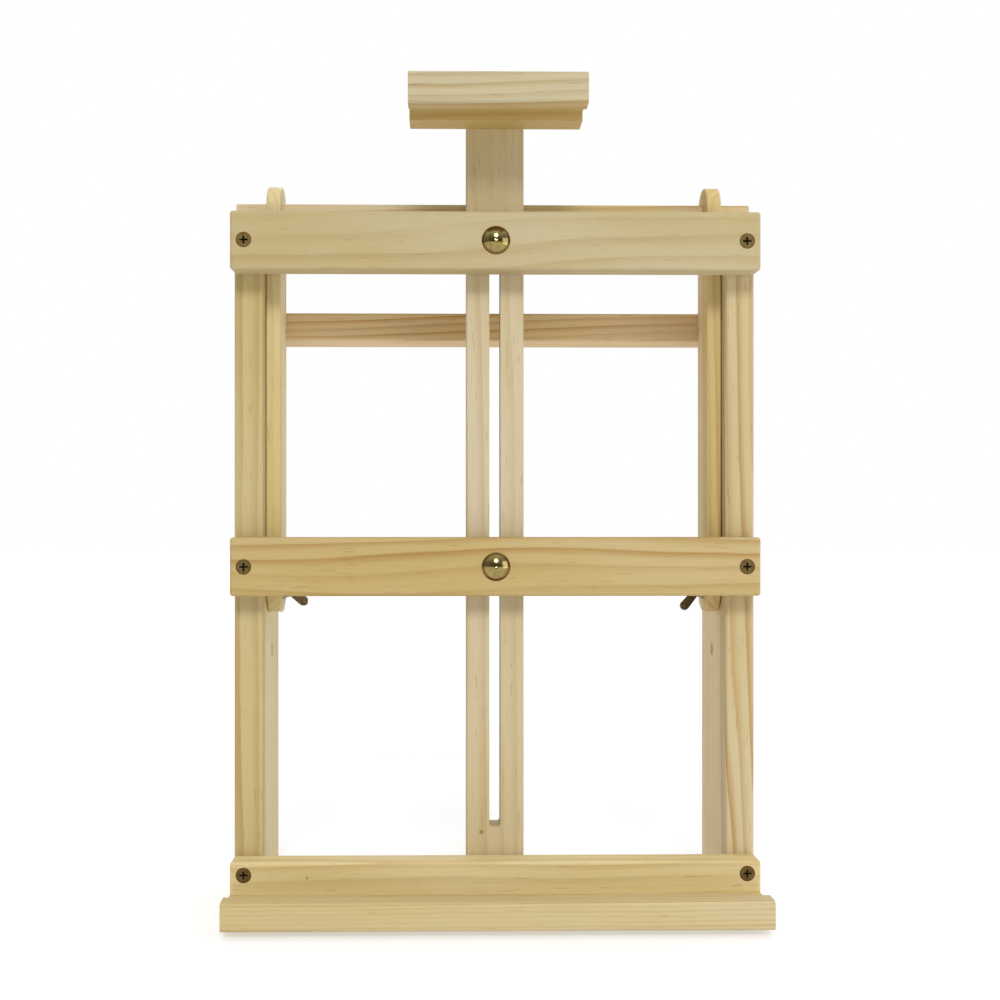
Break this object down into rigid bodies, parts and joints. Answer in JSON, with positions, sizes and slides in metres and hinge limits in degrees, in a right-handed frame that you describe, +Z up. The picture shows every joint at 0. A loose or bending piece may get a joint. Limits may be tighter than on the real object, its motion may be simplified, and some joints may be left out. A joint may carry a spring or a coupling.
{
  "type": "tabletop artist easel",
  "caption": "Tabletop H-frame easel in pine with a sliding slotted mast, a canvas clamp, a ledge and a folding leg frame.",
  "frame": {"origin": "middle of the overall footprint, on the table", "axes": "+X to the right, -Y to the front where the canvas leans, +Z up along the mast"},
  "size_m": [0.312, 0.1224, 0.4796],
  "materials": {
    "side_board_left": "planed bare pine, clear and pale",
    "side_board_right": "planed bare pine, clear and pale",
    "top_rail": "planed bare pine, clear and pale",
    "middle_rail": "planed bare pine, clear and pale",
    "bottom_rail": "planed bare pine, clear and pale",
    "canvas_ledge": "planed bare pine, clear and pale",
    "mast": "planed bare pine, clear and pale",
    "top_clamp": "planed bare pine, clear and pale",
    "leg_left": "planed bare pine, clear and pale",
    "leg_right": "planed bare pine, clear and pale",
    "foot_bar": "planed bare pine, clear and pale",
    "leg_brace": "planed bare pine, clear and pale",
    "screw_bronze": "dark antique bronze",
    "bolt_brass": "polished yellow zinc",
    "zinc": "yellow zinc plate",
    "nut_bronze": "dark antique bronze"
  },
  "bodies": {
    "frame": {"side_board_left": "side_board_left", "side_board_right": "side_board_right", "top_rail": "top_rail", "middle_rail": "middle_rail", "bottom_rail": "bottom_rail", "canvas_ledge": "canvas_ledge", "frame_screws": "screw_bronze", "ledge_screws": "screw_bronze", "mast_bolts": "bolt_brass", "mast_washers": "zinc", "leg_bolts": "zinc", "leg_washers": "zinc"},
    "mast": {"mast": "mast", "top_clamp": "top_clamp", "clamp_screws": "screw_bronze"},
    "leg_frame": {"leg_left": "leg_left", "leg_right": "leg_right", "foot_bar": "foot_bar", "leg_brace": "leg_brace", "foot_bar_screws": "screw_bronze", "brace_screws": "screw_bronze"},
    "mast_nut_upper": {"mast_wing_nut_upper": "nut_bronze"},
    "mast_nut_lower": {"mast_wing_nut_lower": "nut_bronze"},
    "leg_nut_left": {"leg_wing_nut_left": "nut_bronze"},
    "leg_nut_right": {"leg_wing_nut_right": "nut_bronze"}
  },
  "joints": [
    {"name": "mast_slide", "type": "slide", "parent": "frame", "child": "mast", "axis": [0, 0, 1], "range_m": [0, 0.15]},
    {"name": "leg_fold", "type": "hinge", "parent": "frame", "child": "leg_frame", "pos_m": [0, 0.01395, 0.1901], "axis": [-1, 0, 0], "range_deg": [0, 130]},
    {"name": "upper_nut_turn", "type": "hinge", "parent": "frame", "child": "mast_nut_upper", "pos_m": [0, 0.0122, 0.3928], "axis": [0, 1, 0], "range_deg": [0, 720]},
    {"name": "lower_nut_turn", "type": "hinge", "parent": "frame", "child": "mast_nut_lower", "pos_m": [0, 0.0122, 0.2043], "axis": [0, 1, 0], "range_deg": [0, 720]},
    {"name": "left_nut_turn", "type": "hinge", "parent": "frame", "child": "leg_nut_left", "pos_m": [-0.122, 0.01395, 0.1901], "axis": [1, 0, 0], "range_deg": [0, 720]},
    {"name": "right_nut_turn", "type": "hinge", "parent": "frame", "child": "leg_nut_right", "pos_m": [0.122, 0.01395, 0.1901], "axis": [-1, 0, 0], "range_deg": [0, 720]}
  ]
}
